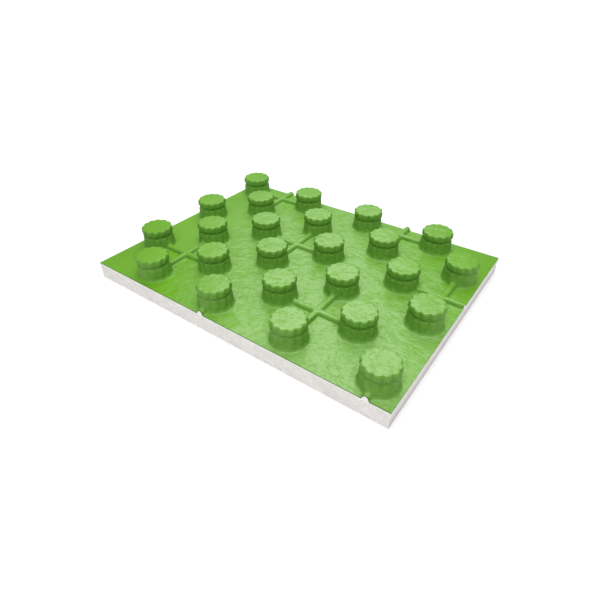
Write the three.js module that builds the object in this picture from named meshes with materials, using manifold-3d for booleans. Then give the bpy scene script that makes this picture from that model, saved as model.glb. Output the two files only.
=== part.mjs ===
// Underfloor heating nub board: a moulded expanded polystyrene slab whose top face carries
// a staggered pattern of lobed nubs and low cross ribs, under a thin green facing film.
// Millimetres, +Z up, board centred on X and Y, underside at Z = 0.
import * as THREE from 'three';
import { mergeVertices } from 'three/addons/utils/BufferGeometryUtils.js';
import Module from 'manifold-3d';

const wasm = await Module();
wasm.setup();

// Laying grid: the pitch of the pipe rows sets the board and everything on it
const gridStep = 50;
const columnCount = 8;
const rowCount = 6;
const boardLength = columnCount * gridStep;
const boardWidth = rowCount * gridStep;

// Thicknesses
const coreThickness = 20;
const filmThickness = 0.8;
const reliefGap = 0.3;
const filmTop = coreThickness + filmThickness;

// Nub profile from the top of the film, the groove and the shoulder placed down from the lip
const nubHeight = 26.5;
const capRadius = 17.7;
const capEdgeDrop = 1.5;
const lipRadius = 19.15;
const lipDepth = 7.4;
const neckRadius = 17.7;
const neckDrop = 1.7;
const shoulderRadius = 18.9;
const shoulderDrop = 3.9;
const footRadius = 19.6;
const footRise = 2.5;
const footFlare = 2.4;
const lobeCount = 12;
const lobeDepth = 1.2;
const segmentsPerLobe = 2;
const nubTop = filmTop + nubHeight;
const lipBottom = nubTop - lipDepth;
const neckLevel = lipBottom - neckDrop;
const shoulderLevel = neckLevel - shoulderDrop;

// Shell left between the lobed outside of a nub and its plain hollow
const nubWall = 1.15;

// Cross ribs between the nubs
const ribWidth = 8.6;
const ribHeight = 5.5;
const ribSideDraft = 1;
const ribTopRadius = 2;
const ribArcSteps = 4;

/** Turns a three.js geometry into a solid that can be joined and cut. */
function solidOf(geometry) {
  const bare = new THREE.BufferGeometry();
  bare.setAttribute('position', geometry.getAttribute('position').clone());
  if (geometry.getIndex()) {
    bare.setIndex(geometry.getIndex().clone());
  }
  const merged = mergeVertices(bare, 1e-4);
  const index = merged.getIndex().array;
  const kept = [];
  for (let corner = 0; corner < index.length; corner += 3) {
    const [a, b, c] = [index[corner], index[corner + 1], index[corner + 2]];
    if (a !== b && b !== c && c !== a) {
      kept.push(a, b, c);
    }
  }
  return new wasm.Manifold(new wasm.Mesh({
    numProp: 3,
    vertProperties: new Float32Array(merged.getAttribute('position').array),
    triVerts: new Uint32Array(kept),
  }));
}

/** Box between two heights, centred on X and Y. */
function boardBox(low, high) {
  const box = new THREE.BoxGeometry(boardLength, boardWidth, high - low);
  box.translate(0, 0, (low + high) / 2);
  return solidOf(box);
}

/** Turned solid from [radius, height] rings, its rings pulled in between the lobes. */
function turned(rings, segments, startAngle, depth) {
  const outline = [[0, rings[0][1]], ...rings, [0, rings[rings.length - 1][1]]];
  const points = outline.map(([radius, height]) => new THREE.Vector2(radius, height));
  const lathe = new THREE.LatheGeometry(points, segments, startAngle);
  lathe.rotateX(Math.PI / 2);
  lathe.rotateZ(Math.PI / 2);
  const position = lathe.getAttribute('position');
  for (let n = 0; n < position.count; n += 1) {
    const x = position.getX(n);
    const y = position.getY(n);
    const radius = Math.hypot(x, y);
    if (radius > depth) {
      const angle = Math.atan2(y, x);
      const valley = 1 - Math.abs(Math.sin(angle * lobeCount / 2));
      const scale = (radius - depth * valley) / radius;
      position.setXY(n, x * scale, y * scale);
    }
  }
  return solidOf(lathe);
}

/** Lobed outside of one nub, standing on the film. */
function nubOutside() {
  const rings = [
    [footRadius + footFlare, coreThickness + filmThickness / 2],
    [footRadius + footFlare, filmTop],
    [footRadius, filmTop + footRise],
    [shoulderRadius, shoulderLevel],
    [neckRadius, neckLevel],
    [lipRadius, lipBottom],
    [lipRadius, nubTop - capEdgeDrop],
    [capRadius, nubTop],
  ];
  return turned(rings, lobeCount * segmentsPerLobe, 0, lobeDepth);
}

/** Plain inside of one nub, kept a wall away from the lobed outside. */
function nubInside(inset, bottom) {
  const wall = nubWall + inset;
  const rings = [
    [footRadius - wall, bottom],
    [shoulderRadius - wall, shoulderLevel],
    [neckRadius - wall, neckLevel],
    [lipRadius - wall, lipBottom],
    [capRadius - wall, nubTop - filmThickness - inset],
  ];
  return turned(rings, lobeCount, Math.PI / lobeCount, 0);
}

/** Section of a rib: drafted sides under a rounded top. */
function ribSection(inset, bottom) {
  const top = filmTop + ribHeight - inset;
  const half = ribWidth / 2 - inset;
  const radius = ribTopRadius - inset / 2;
  const section = new THREE.Shape();
  section.moveTo(-half, bottom);
  section.lineTo(half, bottom);
  for (let step = 0; step <= ribArcSteps; step += 1) {
    const turn = Math.PI * step / ribArcSteps;
    const reach = (half - ribSideDraft) * Math.cos(turn);
    section.lineTo(reach, top - radius + radius * Math.sin(turn));
  }
  section.closePath();
  return section;
}

/** One rib bar from nub centre to nub centre through a crossing point. */
function ribBar(inset, bottom, x, y, alongY) {
  const bar = new THREE.ExtrudeGeometry(ribSection(inset, bottom), {
    depth: 2 * gridStep,
    bevelEnabled: false,
    steps: 1,
  });
  bar.translate(0, 0, -gridStep);
  bar.rotateX(Math.PI / 2);
  if (!alongY) {
    bar.rotateZ(Math.PI / 2);
  }
  bar.translate(x, y, 0);
  return solidOf(bar);
}

/** Centre of a grid cell, counted from the board's left front corner. */
function cellCentre(column, row) {
  return [
    (column + 0.5) * gridStep - boardLength / 2,
    (row + 0.5) * gridStep - boardWidth / 2,
  ];
}

// Nubs stand in every second cell of each row, the rows staggered by one cell
const nubPlaces = [];
for (let row = 0; row < rowCount; row += 1) {
  for (let column = 0; column < columnCount; column += 1) {
    if ((row + column) % 2 === 1) {
      nubPlaces.push(cellCentre(column, row));
    }
  }
}

// Crossings lie in every fourth cell of the odd rows; some lie off the board,
// where it is cut from a longer pattern and only the arm of the cross is left
const crossPlaces = [];
for (let row = -1; row < rowCount; row += 2) {
  for (let column = -1; column < columnCount; column += 2) {
    if ((column - row) % 4 === 0) {
      crossPlaces.push(cellCentre(column, row));
    }
  }
}

/** Joins one shape placed at every nub. */
function atNubs(shape) {
  const copies = nubPlaces.map(([x, y]) => shape.translate([x, y, 0]));
  return wasm.Manifold.union(copies);
}

/** Joins the rib bars of every crossing. */
function ribs(inset, bottom) {
  const bars = [];
  for (const [x, y] of crossPlaces) {
    bars.push(ribBar(inset, bottom, x, y, true));
    bars.push(ribBar(inset, bottom, x, y, false));
  }
  return wasm.Manifold.union(bars);
}

/** Makes a named mesh from a finished solid. */
function meshOf(name, solid, colour, roughness) {
  const result = solid.getMesh();
  const geometry = new THREE.BufferGeometry();
  geometry.setAttribute('position', new THREE.BufferAttribute(result.vertProperties, 3));
  geometry.setIndex(new THREE.BufferAttribute(result.triVerts, 1));
  geometry.computeVertexNormals();
  const material = new THREE.MeshStandardMaterial({ color: colour, roughness, metalness: 0 });
  const mesh = new THREE.Mesh(geometry, material);
  mesh.name = name;
  return mesh;
}

const reach = nubTop + coreThickness;
const outline = boardBox(0, reach);

// White core: slab, nub cores and rib cores moulded in one
const core = boardBox(0, coreThickness)
  .add(atNubs(nubInside(reliefGap, coreThickness / 2)))
  .add(ribs(filmThickness + reliefGap, coreThickness / 2))
  .intersect(outline);

// Green film: flat sheet, nub shells and rib shells drawn in one
const hollow = atNubs(nubInside(0, coreThickness / 2))
  .add(ribs(filmThickness, coreThickness / 2));
const film = boardBox(coreThickness, filmTop)
  .add(atNubs(nubOutside()))
  .add(ribs(0, coreThickness + filmThickness / 2))
  .subtract(hollow)
  .intersect(outline);

const board = new THREE.Group();
board.name = 'nub_board';
board.add(meshOf('eps_board', core, 0xece8e4, 0.85));
board.add(meshOf('film_facing', film, 0x76b43c, 0.4));

export default board;
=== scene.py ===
"""Looks of the nub board: white polystyrene foam under a thin, glossy green facing film.

Everything is in metres. The board is centred on X and Y, its underside is at Z = 0 and the
nubs point up.
"""

from dataclasses import dataclass, field
from enum import Enum
import logging
import math

import bpy
from mathutils import Matrix, Vector
import numpy as np


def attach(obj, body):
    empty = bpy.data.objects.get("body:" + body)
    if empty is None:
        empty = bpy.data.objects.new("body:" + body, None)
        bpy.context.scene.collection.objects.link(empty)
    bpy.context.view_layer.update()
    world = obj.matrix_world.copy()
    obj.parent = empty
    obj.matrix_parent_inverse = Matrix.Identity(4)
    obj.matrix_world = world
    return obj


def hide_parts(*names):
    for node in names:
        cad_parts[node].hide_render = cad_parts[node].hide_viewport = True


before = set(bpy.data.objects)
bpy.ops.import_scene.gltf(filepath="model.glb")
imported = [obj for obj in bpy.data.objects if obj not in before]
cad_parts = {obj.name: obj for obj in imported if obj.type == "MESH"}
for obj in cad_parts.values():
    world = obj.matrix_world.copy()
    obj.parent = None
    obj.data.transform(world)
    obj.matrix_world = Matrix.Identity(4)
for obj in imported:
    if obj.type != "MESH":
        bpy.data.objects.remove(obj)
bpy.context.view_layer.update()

logging.basicConfig(level=logging.INFO, format="%(name)s: %(message)s")
LOG = logging.getLogger("nub_board")

MM = 0.001
TOUCH = 1e-6

Colour = tuple[float, float, float, float]
Range = tuple[float, float]


class Side(Enum):
    """Direction of a cell's side from its centre."""

    RIGHT = (1, 0)
    BACK = (0, 1)
    LEFT = (-1, 0)
    FRONT = (0, -1)


class Layer(Enum):
    """Which skin of the relief is made."""

    OUTSIDE = "outside of the film"
    INSIDE = "inside of the film"
    FOAM = "foam under the film"


# Laying grid


@dataclass(frozen=True)
class PipeGrid:
    """The laying grid: which cells carry a nub, and through which the ribs run."""

    step: float = 50 * MM
    columns: int = 8
    rows: int = 6

    @property
    def length(self) -> float:
        """Length of the board along X."""
        return self.columns * self.step

    @property
    def width(self) -> float:
        """Width of the board along Y."""
        return self.rows * self.step

    def centre(self, column: int, row: int) -> np.ndarray:
        """Centre of a cell.

        Args:
            column: Column from the left.
            row: Row from the front.

        Returns:
            Its X and Y.
        """
        x = (column + 0.5) * self.step - self.length / 2
        y = (row + 0.5) * self.step - self.width / 2
        return np.array([x, y])

    @staticmethod
    def has_nub(column: int, row: int) -> bool:
        """Says whether a nub stands in a cell."""
        return (column + row) % 2 == 1

    @staticmethod
    def has_cross(column: int, row: int) -> bool:
        """Says whether two ribs cross in a cell, on the board or beyond its edge."""
        return column % 2 == 1 and row % 2 == 1 and (column - row) % 4 == 0

    def arms(self, column: int, row: int) -> list[Side]:
        """Sides of a cell that a rib runs out through.

        Args:
            column: Column from the left.
            row: Row from the front.

        Returns:
            The sides.
        """
        if self.has_cross(column, row):
            return list(Side)
        if not self.has_nub(column, row):
            return []
        return [side for side in Side if self.has_cross(column + side.value[0], row + side.value[1])]


# Shader graph


class Value:
    """One output socket, with the arithmetic of its Math nodes."""

    def __init__(self, graph: "Graph", socket: bpy.types.NodeSocket) -> None:
        """Keeps the socket and its graph.

        Args:
            graph: The graph that new nodes are added to.
            socket: The output socket that is wrapped.
        """
        self.graph = graph
        self.socket = socket

    def _math(self, operation: str, first: "Value | float", second: "Value | float") -> "Value":
        """Adds one Math node.

        Args:
            operation: The node's operation.
            first: Its first operand.
            second: Its second operand.

        Returns:
            The node's result.
        """
        return self.graph.node("ShaderNodeMath", {"operation": operation}, {0: first, 1: second})

    def __add__(self, other: "Value | float") -> "Value":
        """Sum of two values."""
        return self._math("ADD", self, other)

    def __radd__(self, other: float) -> "Value":
        """Sum with a number on the left."""
        return self._math("ADD", other, self)

    def __sub__(self, other: "Value | float") -> "Value":
        """Difference of two values."""
        return self._math("SUBTRACT", self, other)

    def __rsub__(self, other: float) -> "Value":
        """Difference from a number on the left."""
        return self._math("SUBTRACT", other, self)

    def __mul__(self, other: "Value | float") -> "Value":
        """Product of two values."""
        return self._math("MULTIPLY", self, other)

    def __rmul__(self, other: float) -> "Value":
        """Product with a number on the left."""
        return self._math("MULTIPLY", other, self)

    def __abs__(self) -> "Value":
        """Size without sign."""
        return self._math("ABSOLUTE", self, 0.0)


@dataclass(frozen=True)
class Pattern:
    """Soft cloud pattern: repeats in a metre, octaves, their strength and how far it is stirred."""

    scale: float
    detail: float = 2.0
    roughness: float = 0.5
    stir: float = 0.0


class Graph:
    """Node graph of one material."""

    MIX_FACTOR = 0
    MIX_FIRST = 6
    MIX_SECOND = 7
    MIX_RESULT = 2

    def __init__(self, name: str) -> None:
        """Starts a material with an empty graph.

        Args:
            name: Name of the material.
        """
        self.material = bpy.data.materials.new(name)
        self.material.use_nodes = True
        self.tree = self.material.node_tree
        self.tree.nodes.clear()

    def node(self, kind: str, settings: dict | None = None, sockets: dict | None = None,
             output: int | str = 0) -> Value | None:
        """Adds one node.

        Args:
            kind: Type name of the node.
            settings: Properties of the node, which are set first.
            sockets: Value or link of each input socket, by name or index.
            output: The output that is returned, by name or index.

        Returns:
            The chosen output, or nothing where the node has none.
        """
        made = self.tree.nodes.new(kind)
        for key, setting in (settings or {}).items():
            setattr(made, key, setting)
        for key, value in (sockets or {}).items():
            if isinstance(value, Value):
                self.tree.links.new(value.socket, made.inputs[key])
            else:
                made.inputs[key].default_value = value
        return Value(self, made.outputs[output]) if made.outputs else None

    def place(self) -> Value:
        """Point of the surface on the board."""
        return self.node("ShaderNodeTexCoord", output="Object")

    def axes(self, vector: Value) -> tuple[Value, Value, Value]:
        """Splits a vector into its three components.

        Args:
            vector: The vector.

        Returns:
            Its X, Y and Z.
        """
        first = self.node("ShaderNodeSeparateXYZ", sockets={0: vector})
        outputs = first.socket.node.outputs
        return first, Value(self, outputs[1]), Value(self, outputs[2])

    def joined(self, x: "Value | float", y: "Value | float", z: "Value | float") -> Value:
        """Joins three components into a vector.

        Args:
            x: The first.
            y: The second.
            z: The third.

        Returns:
            The vector.
        """
        return self.node("ShaderNodeCombineXYZ", None, {0: x, 1: y, 2: z})

    def noise(self, vector: Value, pattern: Pattern) -> Value:
        """Soft cloud pattern around 0.5.

        Args:
            vector: Where it is read.
            pattern: Its settings.

        Returns:
            The pattern.
        """
        return self.node("ShaderNodeTexNoise", None, {
            "Vector": vector,
            "Scale": pattern.scale,
            "Detail": pattern.detail,
            "Roughness": pattern.roughness,
            "Distortion": pattern.stir,
        })

    def band(self, value: Value, low: float, high: float) -> Value:
        """Smooth step from 0 at low to 1 at high.

        Args:
            value: What is tested.
            low: Where the step starts.
            high: Where it ends.

        Returns:
            The step.
        """
        settings = {"interpolation_type": "SMOOTHSTEP"}
        return self.node("ShaderNodeMapRange", settings, {"Value": value, "From Min": low, "From Max": high})

    def blend(self, factor: "Value | float", first: "Value | Colour", second: "Value | Colour") -> Value:
        """Mixes two colours.

        Args:
            factor: Share of the second colour.
            first: Colour at 0.
            second: Colour at 1.

        Returns:
            The mixed colour.
        """
        settings = {"data_type": "RGBA"}
        sockets = {self.MIX_FACTOR: factor, self.MIX_FIRST: first, self.MIX_SECOND: second}
        return self.node("ShaderNodeMix", settings, sockets, output=self.MIX_RESULT)

    def bump(self, height: Value, distance: float, strength: float = 1.0) -> Value:
        """Turns a height pattern into a normal.

        Args:
            height: The height pattern.
            distance: Height of the relief in metres.
            strength: Share of the relief that is used.

        Returns:
            The normal.
        """
        sockets = {"Height": height, "Distance": distance, "Strength": strength}
        return self.node("ShaderNodeBump", None, sockets)

    def surface(self, sockets: dict) -> bpy.types.Material:
        """Closes the graph with a principled shader.

        Args:
            sockets: Values and links of the shader's sockets.

        Returns:
            The finished material.
        """
        shader = self.node("ShaderNodeBsdfPrincipled", None, sockets)
        self.node("ShaderNodeOutputMaterial", None, {"Surface": shader})
        return self.material


# Finishes


@dataclass(frozen=True)
class GreenFilm:
    """Thermoformed green polystyrene film: soft gloss over fine crinkles."""

    grid: PipeGrid = PipeGrid()
    green: Colour = (0.1, 0.283, 0.006, 1.0)
    pale_green: Colour = (0.118, 0.312, 0.01, 1.0)
    # Painted highlight: pale green of the painted sheen
    painted_sheen_green: Colour = (0.178, 0.36, 0.078, 1.0)
    # Painted light: green of its own for walls and rounded edges, set for how light falls on them; the pits
    # take it too
    painted_wall_green: Colour = (0.112, 0.29, 0.026, 1.0)
    # Painted shade: darker green in the groove under the nubs' lip
    painted_groove_shade: Colour = (0.045, 0.13, 0.01, 1.0)
    # Painted shade: dark line along the film's cut edges
    painted_edge_shade: Colour = (0.05, 0.075, 0.015, 1.0)
    roughness: float = 0.36
    roughness_spread: float = 0.12
    wall_roughness: float = 0.3
    refraction: float = 1.46
    crinkle_height: float = 1.1 * MM
    cloud: Pattern = Pattern(14.0, 3.0)
    fine: Pattern = Pattern(210.0)
    wide: Pattern = Pattern(75.0, stir=0.6)
    pit: Pattern = Pattern(260.0, 3.0, 0.6, 0.8)
    wall_light_cloud: Pattern = Pattern(130.0, 3.0, 0.6)
    cloud_step: Range = (0.35, 0.7)
    fleck_step: Range = (0.36, 0.64)
    pit_step: Range = (0.56, 0.68)
    # How far upward the film faces where it passes from wall to flat
    steep_step: Range = (0.72, 0.97)
    # Heights above the underside
    foot_step: Range = (21.0 * MM, 30.0 * MM)
    flat_step: Range = (21.0 * MM, 24.0 * MM)
    groove_bottom: Range = (35.9 * MM, 37.2 * MM)
    groove_top: Range = (38.4 * MM, 40.6 * MM)
    # Distances in from the cut edges
    cut_step: Range = (0.9 * MM, 0.3 * MM)
    # The painted sheen is a pale patch of colour fixed to the board that stands in for reflected lamp light:
    # its heading, its sides and its near and far ends
    sheen_heading: tuple[float, float] = (0.583, 0.8125)
    sheen_offset: float = 25 * MM
    sheen_sides: Range = (30 * MM, 210 * MM)
    sheen_ends: Range = (-280 * MM, -20 * MM)
    # Distances from the board's middle toward its front right corner
    tension_step: Range = (-200 * MM, -40 * MM)
    corner_step: Range = (100 * MM, 200 * MM)
    # Stretch of the crinkles across the painted sheen and up the walls
    across_pull: float = 0.85
    height_pull: float = 0.8
    # Shares of each tone in the colour
    sheen_share: float = 0.3
    sheen_fleck_share: float = 1.1
    corner_sheen_share: float = 0.35
    pit_share: float = 0.3
    wall_light_share: float = 0.4
    wall_light_spread: float = 1.15
    foot_fade: float = 0.18
    groove_shade_share: float = 0.32
    edge_shade_share: float = 0.55
    side_edge_shade_share: float = 0.4
    # Shares of each form in the crinkles
    slack_relief: float = 0.1
    fine_relief: float = 0.6
    wide_relief: float = 1.4
    corner_relief: float = 0.6
    pit_relief: float = 0.2
    swirl_relief: float = 0.13
    # The wrinkles around the corner nub
    swirl_waves: float = 700.0
    swirl_stir: float = 34 * MM

    def make(self) -> bpy.types.Material:
        """Builds the material.

        Returns:
            The material.
        """
        graph = Graph("green_film")
        place = graph.place()
        x, y, z = graph.axes(place)
        lean_x, lean_y = self.sheen_heading
        along = x * lean_x - y * lean_y
        across = x * lean_y + y * lean_x
        diagonal = math.hypot(self.grid.length, self.grid.width)
        outward = x * (self.grid.length / diagonal) - y * (self.grid.width / diagonal)
        tension = graph.band(outward, *self.tension_step)
        corner = graph.band(outward, *self.corner_step)
        # Painted sheen: a pale patch that stands in for reflected lamp light, laid along one heading and
        # fading toward its sides and toward the back
        sheen = 1 - graph.band(abs(across - self.sheen_offset), *self.sheen_sides)
        sheen = sheen * graph.band(along, *self.sheen_ends)
        cloud = graph.noise(place, self.cloud)
        pulled = graph.joined(across * self.across_pull, along, z * self.height_pull)
        fine = graph.noise(pulled, self.fine)
        wide = graph.noise(pulled, self.wide)
        flecks = graph.band((fine + wide) * 0.5, *self.fleck_step)
        pits = graph.band(graph.noise(pulled, self.pit), *self.pit_step) * sheen
        wall = self.steep(graph)

        colour = graph.blend(graph.band(cloud, *self.cloud_step), self.green, self.pale_green)
        # Painted sheen: pale green in the patch, with paler flecks over the crinkles and more of it toward
        # the front right corner
        sheen_amount = sheen * (self.sheen_share + flecks * self.sheen_fleck_share) + corner * sheen * self.corner_sheen_share
        colour = graph.blend(sheen_amount, colour, self.painted_sheen_green)
        # Pits break the painted sheen with the wall green
        colour = graph.blend(pits * self.pit_share, colour, self.painted_wall_green)
        # Painted light: walls and rounded edges take the wall green in place of the flat film's tones and
        # painted sheen
        colour = graph.blend(self.painted_wall_light(graph, place, z, wall), colour, self.painted_wall_green)
        # Painted shade: a darker green in the groove under the lip, on the walls only
        colour = graph.blend(self.groove(graph, z) * wall * self.groove_shade_share, colour, self.painted_groove_shade)
        # Painted shade: a dark line along the film's cut edges
        colour = graph.blend(self.cut(graph, x, y) * self.edge_shade_share, colour, self.painted_edge_shade)

        flat = 1 - graph.band(z, *self.flat_step)
        wide_share = self.slack_relief + tension * self.wide_relief + corner * self.corner_relief
        relief = fine * (self.slack_relief + tension * self.fine_relief) + wide * wide_share
        relief = relief - pits * self.pit_relief
        relief = relief + self.swirl(graph, x, y, wide) * corner * flat * self.swirl_relief
        return graph.surface({
            "Base Color": colour,
            "Roughness": self.roughness + (cloud - 0.5) * self.roughness_spread + wall * self.wall_roughness,
            "Normal": graph.bump(relief, self.crinkle_height),
            "IOR": self.refraction,
        })

    def steep(self, graph: Graph) -> Value:
        """Marks walls and rounded edges.

        Args:
            graph: The graph.

        Returns:
            0 where the film lies flat and 1 where it stands upright.
        """
        _, _, rise = graph.axes(graph.node("ShaderNodeTexCoord", output="Normal"))
        return 1 - graph.band(rise, *self.steep_step)

    def painted_wall_light(self, graph: Graph, place: Value, z: Value, wall: Value) -> Value:
        """Marks the walls and rounded edges that take the painted wall green, a stand-in for how light falls
        on them, less so at the foot of a nub.

        Args:
            graph: The graph.
            place: Point on the board.
            z: Height of the point.
            wall: Marks the walls.

        Returns:
            The mark, uneven from place to place.
        """
        foot = 1 - graph.band(z, *self.foot_step)
        uneven = self.wall_light_share + graph.noise(place, self.wall_light_cloud) * self.wall_light_spread
        return wall * uneven * (1 - foot * self.foot_fade)

    def groove(self, graph: Graph, z: Value) -> Value:
        """Marks the groove under the lip of the nubs, where painted shade darkens the film.

        Args:
            graph: The graph.
            z: Height of the point.

        Returns:
            The mark.
        """
        return graph.band(z, *self.groove_bottom) * (1 - graph.band(z, *self.groove_top))

    def cut(self, graph: Graph, x: Value, y: Value) -> Value:
        """Marks the painted shade along the cut edges of the film, the right one more faintly and the left
        one not at all.

        Args:
            graph: The graph.
            x: Place along X.
            y: Place along Y.

        Returns:
            The mark.
        """
        half_x, half_y = self.grid.length / 2, self.grid.width / 2
        start, end = self.cut_step
        return graph.node("ShaderNodeMath", {"operation": "MAXIMUM"}, {
            0: graph.band(x, half_x - start, half_x - end) * self.side_edge_shade_share,
            1: graph.band(abs(y), half_y - start, half_y - end),
        })

    def swirl(self, graph: Graph, x: Value, y: Value, stir: Value) -> Value:
        """Wrinkles around the nub in the front right corner, where the sheet was left slack.

        Args:
            graph: The graph.
            x: Place along X.
            y: Place along Y.
            stir: Soft pattern that bends them.

        Returns:
            The wrinkles, from -1 to 1.
        """
        centre_x, centre_y = self.grid.centre(self.grid.columns - 1, 0)
        ends = {0: graph.joined(x, y, 0.0), 1: (centre_x, centre_y, 0.0)}
        reach = graph.node("ShaderNodeVectorMath", {"operation": "DISTANCE"}, ends, "Value")
        waves = (reach + stir * self.swirl_stir) * self.swirl_waves
        return graph.node("ShaderNodeMath", {"operation": "SINE"}, {0: waves})


@dataclass(frozen=True)
class BeadFoam:
    """White expanded polystyrene: packed beads with fine lines between them."""

    grid: PipeGrid = PipeGrid()
    white: Colour = (0.84, 0.815, 0.78, 1.0)
    shade: Colour = (0.6, 0.575, 0.57, 1.0)
    # Painted highlight: paler band along the foam's top edge, under the film
    rim: Colour = (0.88, 0.89, 0.86, 1.0)
    # Painted shade: greyer tone low on the right face
    painted_low_shade: Colour = (0.6, 0.545, 0.56, 1.0)
    bead: float = 3.6 * MM
    bead_height: float = 0.25 * MM
    bead_strength: float = 0.7
    roughness: float = 0.75
    refraction: float = 1.45
    mottle: Pattern = Pattern(60.0, 3.0)
    # Distances from the line between two beads, in beads
    line_step: Range = (0.0, 0.09)
    crown_step: Range = (0.0, 0.22)
    # Heights above the underside
    rim_highlight_step: Range = (18.2 * MM, 19.4 * MM)
    low_shade_step: Range = (6.0 * MM, 14.0 * MM)
    # Distances in from the right face
    side_step: Range = (0.8 * MM, 0.2 * MM)
    line_share: float = 0.3
    tint_share: float = 0.35
    mottle_share: float = 0.9
    low_shade_share: float = 0.8

    def make(self) -> bpy.types.Material:
        """Builds the material.

        Returns:
            The material.
        """
        graph = Graph("bead_foam")
        place = graph.place()
        x, _, z = graph.axes(place)
        beads = {"Vector": place, "Scale": 1 / self.bead}
        cells = graph.node("ShaderNodeTexVoronoi", {"feature": "DISTANCE_TO_EDGE"}, beads)
        tone = graph.node("ShaderNodeTexVoronoi", {"feature": "F1"}, beads, "Color")
        tint, _, _ = graph.axes(tone)
        line = 1 - graph.band(cells, *self.line_step)
        mottle = (graph.noise(place, self.mottle) - 0.5) * self.mottle_share
        colour = graph.blend(line * self.line_share + tint * self.tint_share + mottle, self.white, self.shade)
        # Painted shade: the right face darker and greyer towards the bottom
        start, end = self.side_step
        side = graph.band(x, self.grid.length / 2 - start, self.grid.length / 2 - end)
        low = side * (1 - graph.band(z, *self.low_shade_step))
        colour = graph.blend(low * self.low_shade_share, colour, self.painted_low_shade)
        # Painted highlight along the foam's top edge
        colour = graph.blend(graph.band(z, *self.rim_highlight_step), colour, self.rim)
        crowns = graph.band(cells, *self.crown_step)
        return graph.surface({
            "Base Color": colour,
            "Roughness": self.roughness,
            "Normal": graph.bump(crowns, self.bead_height, self.bead_strength),
            "IOR": self.refraction,
        })


@dataclass(frozen=True)
class StudioFloor:
    """Plain white floor."""

    white: Colour = (0.5, 0.5, 0.5, 1.0)
    off_white: Colour = (0.48, 0.48, 0.48, 1.0)
    near_glow: Colour = (0.38, 0.38, 0.38, 1.0)
    far_glow: Colour = (0.85, 0.85, 0.85, 1.0)
    roughness: float = 0.9
    cloud: Pattern = Pattern(3.0)
    cloud_share: float = 0.1
    glow_step: Range = (0.25, 1.6)
    glow_strength: float = 1.0

    def make(self) -> bpy.types.Material:
        """Builds the material.

        Returns:
            The material.
        """
        graph = Graph("studio_floor")
        place = graph.place()
        colour = graph.blend(graph.noise(place, self.cloud) * self.cloud_share, self.white, self.off_white)
        reach = graph.node("ShaderNodeVectorMath", {"operation": "LENGTH"}, {0: place}, "Value")
        return graph.surface({
            "Base Color": colour,
            "Roughness": self.roughness,
            "Emission Color": graph.blend(graph.band(reach, *self.glow_step), self.near_glow, self.far_glow),
            "Emission Strength": self.glow_strength,
        })


# Shape of the relief


@dataclass
class MeshParts:
    """Vertices and faces that are gathered before they are welded into one mesh."""

    points: list[np.ndarray] = field(default_factory=list)
    faces: list[np.ndarray] = field(default_factory=list)
    count: int = 0
    sharp: float = math.radians(40.0)
    weld: float = 2e-3 * MM

    def add(self, points: np.ndarray, faces: np.ndarray) -> None:
        """Adds a patch.

        Args:
            points: Its vertices, one row each.
            faces: Its faces as rows of vertex numbers; a triangle repeats its last corner.
        """
        self.points.append(points)
        self.faces.append(faces + self.count)
        self.count += len(points)

    def sheet(self, grid: np.ndarray, flip: bool = False, closed: bool = False) -> None:
        """Adds a grid of quads.

        Args:
            grid: Vertices as rows by columns by 3.
            flip: Turns the faces over.
            closed: Joins the last column to the first.
        """
        rows, columns = grid.shape[:2]
        number = np.arange(rows * columns).reshape(rows, columns)
        if closed:
            number = np.concatenate([number, number[:, :1]], axis=1)
        a, b, c, d = number[:-1, :-1], number[:-1, 1:], number[1:, 1:], number[1:, :-1]
        corners = (a, d, c, b) if flip else (a, b, c, d)
        self.add(grid.reshape(-1, 3), np.stack([corner.ravel() for corner in corners], axis=1))

    def welded(self, name: str) -> bpy.types.Object:
        """Joins the patches where their vertices meet.

        Args:
            name: Name of the new object.

        Returns:
            The object, smooth shaded.
        """
        points = np.concatenate(self.points)
        faces = np.concatenate(self.faces)
        keys = np.round(points / self.weld).astype(np.int64)
        _, first, where = np.unique(keys, axis=0, return_index=True, return_inverse=True)
        points, faces = points[first], where.reshape(-1)[faces]
        polygons = []
        for face in faces.tolist():
            ring = [corner for n, corner in enumerate(face) if corner != face[n - 1]]
            if len(set(ring)) == len(ring) and len(ring) > 2:
                polygons.append(ring)
        mesh = bpy.data.meshes.new(name)
        mesh.from_pydata(points.tolist(), [], polygons)
        mesh.validate()
        mesh.shade_smooth()
        mesh.set_sharp_from_angle(angle=self.sharp)
        made = bpy.data.objects.new(name, mesh)
        bpy.context.scene.collection.objects.link(made)
        return made


@dataclass
class Rib:
    """Low rib that holds the pipe off the board."""

    height: float = 5.1 * MM
    # Distances from the middle line in millimetres, and the share of the height reached there
    offsets: tuple[float, ...] = (0.0, 1.5, 2.7, 3.5, 4.0, 4.4, 5.2)
    shares: tuple[float, ...] = (1.0, 0.955, 0.83, 0.64, 0.3, 0.08, 0.0)
    crest: float = 0.5 * MM

    def lift(self, x: np.ndarray, y: np.ndarray, arms: list[Side], inset: float) -> np.ndarray:
        """Height of the ribs in a cell.

        Args:
            x: Offsets from the cell's centre along X.
            y: Offsets from the cell's centre along Y.
            arms: Sides that the ribs run out through.
            inset: How far this skin lies under the outside of the film.

        Returns:
            The height above the flat part of the same skin.
        """
        lift = np.zeros_like(x)
        for side in arms:
            along = x * side.value[0] + y * side.value[1]
            across = np.abs(x * side.value[1] - y * side.value[0])
            reach = across + inset * (across > self.crest)
            arm = np.interp(reach, np.array(self.offsets) * MM, np.array(self.shares))
            lift = np.maximum(lift, np.where(along > -TOUCH, arm, 0.0) * self.height)
        return lift


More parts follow.
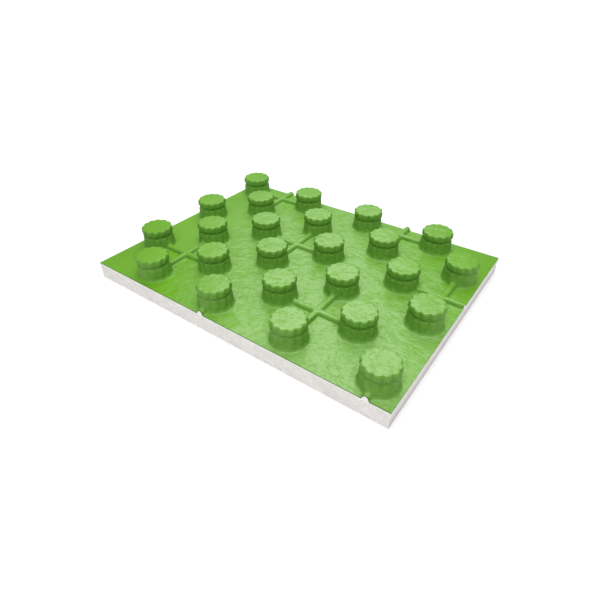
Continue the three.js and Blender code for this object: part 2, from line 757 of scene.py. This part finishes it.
@dataclass
class Nub:
    """Lobed nub that grips the pipe: foot, body, groove, lip and cap."""

    foot: float = 19.6 * MM
    flare: float = 2.4 * MM
    lobes: int = 12
    rise: float = 4.6 * MM
    foot_crease: float = 1.2 * MM
    fillet_steps: int = 5
    wall_steps: int = 3
    # Radius over the lobes, height above the film and depth of the creases, in millimetres
    upper: tuple[tuple[float, float, float], ...] = (
        (19.0, 13.4, 1.7), (18.9, 14.5, 1.6), (18.5, 15.1, 1.2), (18.0, 15.6, 0.6), (17.8, 16.3, 0.4),
        (17.8, 17.5, 0.4), (18.1, 18.2, 0.6), (18.8, 18.75, 1.2), (19.3, 19.5, 1.9), (19.4, 21.8, 2.1),
        (19.3, 24.3, 2.15), (19.05, 25.2, 2.1), (18.55, 25.9, 2.0), (17.85, 26.35, 1.8), (17.0, 26.5, 1.5),
    )
    # Radius and crease depth of the rings on the flat cap, in millimetres
    cap: tuple[tuple[float, float], ...] = ((14.6, 0.8), (11.0, 0.2), (6.5, 0.0), (2.5, 0.0))

    @property
    def shoulder_level(self) -> float:
        """Height of the body's top above the film."""
        return self.upper[0][1] * MM

    def rings(self) -> list[tuple[float, float, float]]:
        """Radius, height and crease depth of each ring from the flat film up, in metres."""
        rings = []
        for step in range(self.fillet_steps + 1):
            turn = math.pi / 2 * step / self.fillet_steps
            share = step / self.fillet_steps
            radius = self.foot + self.flare * (1 - math.sin(turn))
            rings.append((radius, self.rise * (1 - math.cos(turn)), self.foot_crease * share))
        top_radius, top_level, top_crease = (value * MM for value in self.upper[0])
        for step in range(1, self.wall_steps):
            share = step / self.wall_steps
            radius = self.foot + (top_radius - self.foot) * share
            level = self.rise + (top_level - self.rise) * share
            rings.append((radius, level, self.foot_crease + (top_crease - self.foot_crease) * share))
        rings += [(radius * MM, level * MM, crease * MM) for radius, level, crease in self.upper]
        cap_level = rings[-1][1]
        rings += [(radius * MM, cap_level, crease * MM) for radius, crease in self.cap]
        return rings


@dataclass
class Relief:
    """The nubbed top of the board, as a welded grid of cells."""

    grid: PipeGrid = field(default_factory=PipeGrid)
    nub: Nub = field(default_factory=Nub)
    rib: Rib = field(default_factory=Rib)
    foam_top: float = 20 * MM
    film: float = 0.8 * MM
    bond: float = 0.02 * MM
    # Half of a cell's side and the angle on the nub that each point faces, in millimetres and degrees
    half_side: tuple[float, ...] = (0.0, 1.5, 2.7, 3.5, 4.0, 4.4, 5.2, 9.1, 12.46, 14.43, 16.55, 20.2, 25.0)
    half_turn: tuple[float, ...] = (0.0, 3.8, 7.0, 9.2, 10.5, 11.6, 14.0, 21.0, 26.5, 30.0, 33.5, 39.0, 45.0)
    coarse_rings: tuple[int, ...] = (0, 5, 8, 13, 16, 18, 22)
    # Rings from the cell's edge in: toward the nub's foot, and over a flat cell to its centre
    apron: tuple[float, ...] = (0.0, 0.5)
    flat_rings: tuple[float, ...] = (1.0, 0.55, 0.0)

    def level(self, layer: Layer) -> float:
        """Height of a skin's flat part."""
        return {Layer.OUTSIDE: self.foam_top + self.film, Layer.INSIDE: self.foam_top,
                Layer.FOAM: self.foam_top - self.bond}[layer]

    def inset(self, layer: Layer) -> float:
        """How far a skin lies under the outside of the film."""
        return self.foam_top + self.film - self.level(layer)

    def side_points(self) -> np.ndarray:
        """Points along one side of a cell, from end to end."""
        half = np.array(self.half_side) * MM
        return np.concatenate([-half[:0:-1], half])

    def side_angles(self) -> np.ndarray:
        """Angles on the nub that the points of one side face."""
        half = np.radians(self.half_turn)
        return np.concatenate([-half[:0:-1], half])

    def cell_edge(self) -> tuple[np.ndarray, np.ndarray]:
        """Offsets of a cell's edge from its centre, once around against the clock."""
        marks = self.side_points()[:-1]
        side = np.full_like(marks, self.grid.step / 2)
        return np.concatenate([side, -marks, -side, marks]), np.concatenate([marks, side, -marks, -side])

    def empty_cell(self, parts: MeshParts, column: int, row: int, layer: Layer, flip: bool) -> None:
        """Adds a cell with no nub: a fine grid under crossing ribs, else a few flat rings.

        Args:
            parts: Where the patch goes.
            column: Column from the left.
            row: Row from the front.
            layer: The skin that is made.
            flip: Turns the faces over.
        """
        arms = self.grid.arms(column, row)
        cx, cy = self.grid.centre(column, row)
        if arms:
            marks = self.side_points()
            x, y = np.meshgrid(marks, marks)
            lift = self.rib.lift(x, y, arms, self.inset(layer))
        else:
            edge_x, edge_y = self.cell_edge()
            shares = np.array(self.flat_rings)[:, None]
            x, y = edge_x * shares, edge_y * shares
            lift = np.zeros_like(x)
        patch = np.stack([x + cx, y + cy, self.level(layer) + lift], axis=-1)
        parts.sheet(patch, flip, closed=not arms)

    def nub_cell(self, parts: MeshParts, column: int, row: int, layer: Layer, flip: bool) -> None:
        """Adds a cell with its nub.

        Args:
            parts: Where the patch goes.
            column: Column from the left.
            row: Row from the front.
            layer: The skin that is made.
            flip: Turns the faces over.
        """
        inset = self.inset(layer)
        arms = self.grid.arms(column, row)
        turns = self.side_angles()[:-1]
        edge_x, edge_y = self.cell_edge()
        angle = np.concatenate([turns + math.pi / 2 * quarter for quarter in range(4)])
        valley = 1 - np.abs(np.sin(angle * self.nub.lobes / 2))
        rings = self.nub.rings()
        if layer is not Layer.OUTSIDE:
            rings = [rings[n] for n in self.coarse_rings]
        flare_x, flare_y = (rings[0][0] - inset) * np.cos(angle), (rings[0][0] - inset) * np.sin(angle)
        rows = []
        for share in self.apron if layer is Layer.OUTSIDE else self.apron[:1]:
            x, y = edge_x + (flare_x - edge_x) * share, edge_y + (flare_y - edge_y) * share
            rows.append(np.stack([x, y, self.rib.lift(x, y, arms, inset)], axis=-1))
        foot = self.nub.foot - inset
        foot_lift = self.rib.lift(foot * np.cos(angle), foot * np.sin(angle), arms, inset)
        for radius, level, crease in rings:
            reach = radius - inset - crease * valley
            x, y = reach * np.cos(angle), reach * np.sin(angle)
            if level <= self.nub.rise + TOUCH:
                lift = self.rib.lift(x, y, arms, inset)
            else:
                climb = (level - self.nub.rise) / (self.nub.shoulder_level - self.nub.rise)
                lift = foot_lift * max(0.0, 1 - climb)
            rows.append(np.stack([x, y, level + lift], axis=-1))
        top = np.zeros_like(rows[-1])
        top[:, 2] = rows[-1][:, 2]
        rows.append(top)
        patch = np.stack(rows)
        cx, cy = self.grid.centre(column, row)
        patch += np.array([cx, cy, self.level(layer)])
        parts.sheet(patch, flip, closed=True)

    def skin(self, parts: MeshParts, layer: Layer, flip: bool) -> None:
        """Adds one whole skin of the relief.

        Args:
            parts: Where the patches go.
            layer: The skin that is made.
            flip: Turns the faces over.
        """
        for row in range(self.grid.rows):
            for column in range(self.grid.columns):
                if self.grid.has_nub(column, row):
                    self.nub_cell(parts, column, row, layer, flip)
                else:
                    self.empty_cell(parts, column, row, layer, flip)

    def outline(self, layer: Layer) -> np.ndarray:
        """Edge of a skin, once around the board against the clock.

        Args:
            layer: The skin whose edge is followed.

        Returns:
            Its points, one row each.
        """
        marks = self.side_points()[:-1]
        half_x, half_y = self.grid.length / 2, self.grid.width / 2
        points = []
        runs = (
            (Side.FRONT, [(column, 0) for column in range(self.grid.columns)]),
            (Side.RIGHT, [(self.grid.columns - 1, row) for row in range(self.grid.rows)]),
            (Side.BACK, [(column, self.grid.rows - 1) for column in reversed(range(self.grid.columns))]),
            (Side.LEFT, [(0, row) for row in reversed(range(self.grid.rows))]),
        )
        for side, cells in runs:
            out_x, out_y = side.value
            for column, row in cells:
                x = out_x * self.grid.step / 2 - out_y * marks
                y = out_y * self.grid.step / 2 + out_x * marks
                lift = self.rib.lift(x, y, self.grid.arms(column, row), self.inset(layer))
                cx, cy = self.grid.centre(column, row)
                points.append(np.stack([x + cx, y + cy, self.level(layer) + lift], axis=-1))
        loop = np.concatenate(points)
        loop[:, 0] = np.clip(loop[:, 0], -half_x, half_x)
        loop[:, 1] = np.clip(loop[:, 1], -half_y, half_y)
        return loop


# Pieces


@dataclass
class FilmFacing:
    """The green film drawn over the board's nubs and ribs."""

    relief: Relief
    finish: GreenFilm = field(default_factory=GreenFilm)

    def build(self) -> bpy.types.Object:
        """Makes the film as one closed sheet.

        Returns:
            The film.
        """
        parts = MeshParts()
        self.relief.skin(parts, Layer.OUTSIDE, flip=False)
        self.relief.skin(parts, Layer.INSIDE, flip=True)
        rim = np.stack([self.relief.outline(Layer.INSIDE), self.relief.outline(Layer.OUTSIDE)])
        parts.sheet(rim, closed=True)
        return parts.welded("green_film")

    def dress(self, film: bpy.types.Object) -> None:
        """Gives the film its finish and its place in the frame.

        Args:
            film: The film.
        """
        film.data.materials.append(self.finish.make())
        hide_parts("film_facing")
        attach(film, "root")


@dataclass
class FoamBoard:
    """The white moulded foam with its nub and rib cores."""

    relief: Relief
    finish: BeadFoam = field(default_factory=BeadFoam)
    edge_softness: float = 0.5 * MM
    wall_rows: int = 8
    underside_rings: tuple[float, ...] = (1.0, 0.97, 0.6, 0.3, 0.0)

    def build(self) -> bpy.types.Object:
        """Makes the foam as one closed solid.

        Returns:
            The foam.
        """
        parts = MeshParts()
        self.relief.skin(parts, Layer.FOAM, flip=False)
        rim = self.relief.outline(Layer.FOAM)
        low = rim.copy()
        low[:, 2] = self.edge_softness
        shares = np.linspace(0, 1, self.wall_rows)[:, None, None]
        wall = low[None] + (rim - low)[None] * shares
        half_x, half_y = self.relief.grid.length / 2, self.relief.grid.width / 2
        foot = rim.copy()
        foot[:, 0] *= (half_x - self.edge_softness) / half_x
        foot[:, 1] *= (half_y - self.edge_softness) / half_y
        foot[:, 2] = 0.0
        parts.sheet(np.concatenate([foot[None], wall]), closed=True)
        self.underside(parts, foot)
        return parts.welded("foam_board")

    def underside(self, parts: MeshParts, foot: np.ndarray) -> None:
        """Adds the flat underside.

        Args:
            parts: Where the patch goes.
            foot: The loop around the underside.
        """
        shares = np.array(self.underside_rings)[:, None, None]
        parts.sheet(foot[None] * shares, flip=True, closed=True)

    def dress(self, foam: bpy.types.Object) -> None:
        """Gives the foam its finish and its place in the frame.

        Args:
            foam: The foam.
        """
        foam.data.materials.append(self.finish.make())
        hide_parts("eps_board")
        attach(foam, "root")


# Studio


@dataclass(frozen=True)
class Heading:
    """Direction from the board: degrees against the clock from the X axis, and above the floor."""

    turn: float
    pitch: float = 0.0

    def vector(self) -> Vector:
        """The direction as a unit vector."""
        turn, pitch = math.radians(self.turn), math.radians(self.pitch)
        return Vector((math.cos(turn) * math.cos(pitch), math.sin(turn) * math.cos(pitch), math.sin(pitch)))


@dataclass(frozen=True)
class SoftBox:
    """Soft lamp that hangs away from the point it lights."""

    name: str
    aim: tuple[float, float, float]
    heading: Heading
    distance: float
    size: tuple[float, float]
    power: float

    def build(self) -> None:
        """Hangs the lamp."""
        data = bpy.data.lights.new(self.name, "AREA")
        data.shape = "RECTANGLE"
        data.size, data.size_y = self.size
        data.energy = self.power
        made = bpy.data.objects.new(self.name, data)
        away = self.heading.vector()
        made.location = Vector(self.aim) + away * self.distance
        made.rotation_euler = away.to_track_quat("Z", "Y").to_euler()
        bpy.context.scene.collection.objects.link(made)


@dataclass
class Studio:
    """Floor, light and camera around the board."""

    target: tuple[float, float, float] = (47.1 * MM, -67.4 * MM, 20.8 * MM)
    turn: float = 35.66
    pitch: float = 37.33
    distance: float = 500.3 * MM
    lens: float = 27.08
    film_width: float = 36.0
    near_limit: float = 0.01
    floor_size: float = 12.0
    floor_drop: float = 0.05 * MM
    sky_tone: Colour = (1.0, 1.0, 1.0, 1.0)
    sky_strength: float = 0.38
    lamps: tuple[SoftBox, ...] = (
        SoftBox("back_box", (100 * MM, -75 * MM, 20 * MM), Heading(123.0, 55.0), 1.06, (0.6, 0.85), 5.5),
        SoftBox("key_box", (0.0, 0.0, 30 * MM), Heading(-54.0, 72.0), 1.6, (1.3, 1.3), 26.0),
        SoftBox("front_box", (0.0, 0.0, 30 * MM), Heading(-100.0, 25.0), 2.2, (1.6, 1.2), 2.0),
    )

    def camera(self) -> None:
        """Sets the camera."""
        right = Heading(self.turn).vector()
        back = Heading(self.turn - 90.0, self.pitch).vector()
        up = back.cross(right)
        data = bpy.data.cameras.new("studio_camera")
        data.lens = self.lens
        data.sensor_width = self.film_width
        data.clip_start = self.near_limit
        made = bpy.data.objects.new("studio_camera", data)
        place = Vector(self.target) + back * self.distance
        made.matrix_world = Matrix((
            (right.x, up.x, back.x, place.x),
            (right.y, up.y, back.y, place.y),
            (right.z, up.z, back.z, place.z),
            (0.0, 0.0, 0.0, 1.0),
        ))
        bpy.context.scene.collection.objects.link(made)
        bpy.context.scene.camera = made

    def floor(self) -> None:
        """Lays the floor just under the board."""
        half = self.floor_size / 2
        mesh = bpy.data.meshes.new("floor")
        corners = [(-half, -half, 0.0), (half, -half, 0.0), (half, half, 0.0), (-half, half, 0.0)]
        mesh.from_pydata(corners, [], [(0, 1, 2, 3)])
        floor = bpy.data.objects.new("floor", mesh)
        floor.location.z = -self.floor_drop
        bpy.context.scene.collection.objects.link(floor)
        mesh.materials.append(StudioFloor().make())

    def daylight(self) -> None:
        """Sets an even white sky and plain tones."""
        world = bpy.data.worlds.new("studio_sky")
        world.use_nodes = True
        background = world.node_tree.nodes["Background"]
        background.inputs["Color"].default_value = self.sky_tone
        background.inputs["Strength"].default_value = self.sky_strength
        bpy.context.scene.world = world
        bpy.context.scene.view_settings.view_transform = "Standard"

    def build(self) -> None:
        """Makes the floor, the sky, the lamps and the camera."""
        self.floor()
        self.daylight()
        for lamp in self.lamps:
            lamp.build()
        self.camera()


def main() -> None:
    """Builds and dresses the board, then its studio."""
    relief = Relief()
    for name, piece in (("film", FilmFacing(relief)), ("foam", FoamBoard(relief))):
        made = piece.build()
        piece.dress(made)
        made.data.calc_loop_triangles()
        LOG.info("%s: %s with %d triangles", name, made.name, len(made.data.loop_triangles))
    Studio().build()
    LOG.info("studio: floor, lamps and camera")


if __name__ == "__main__":
    main()
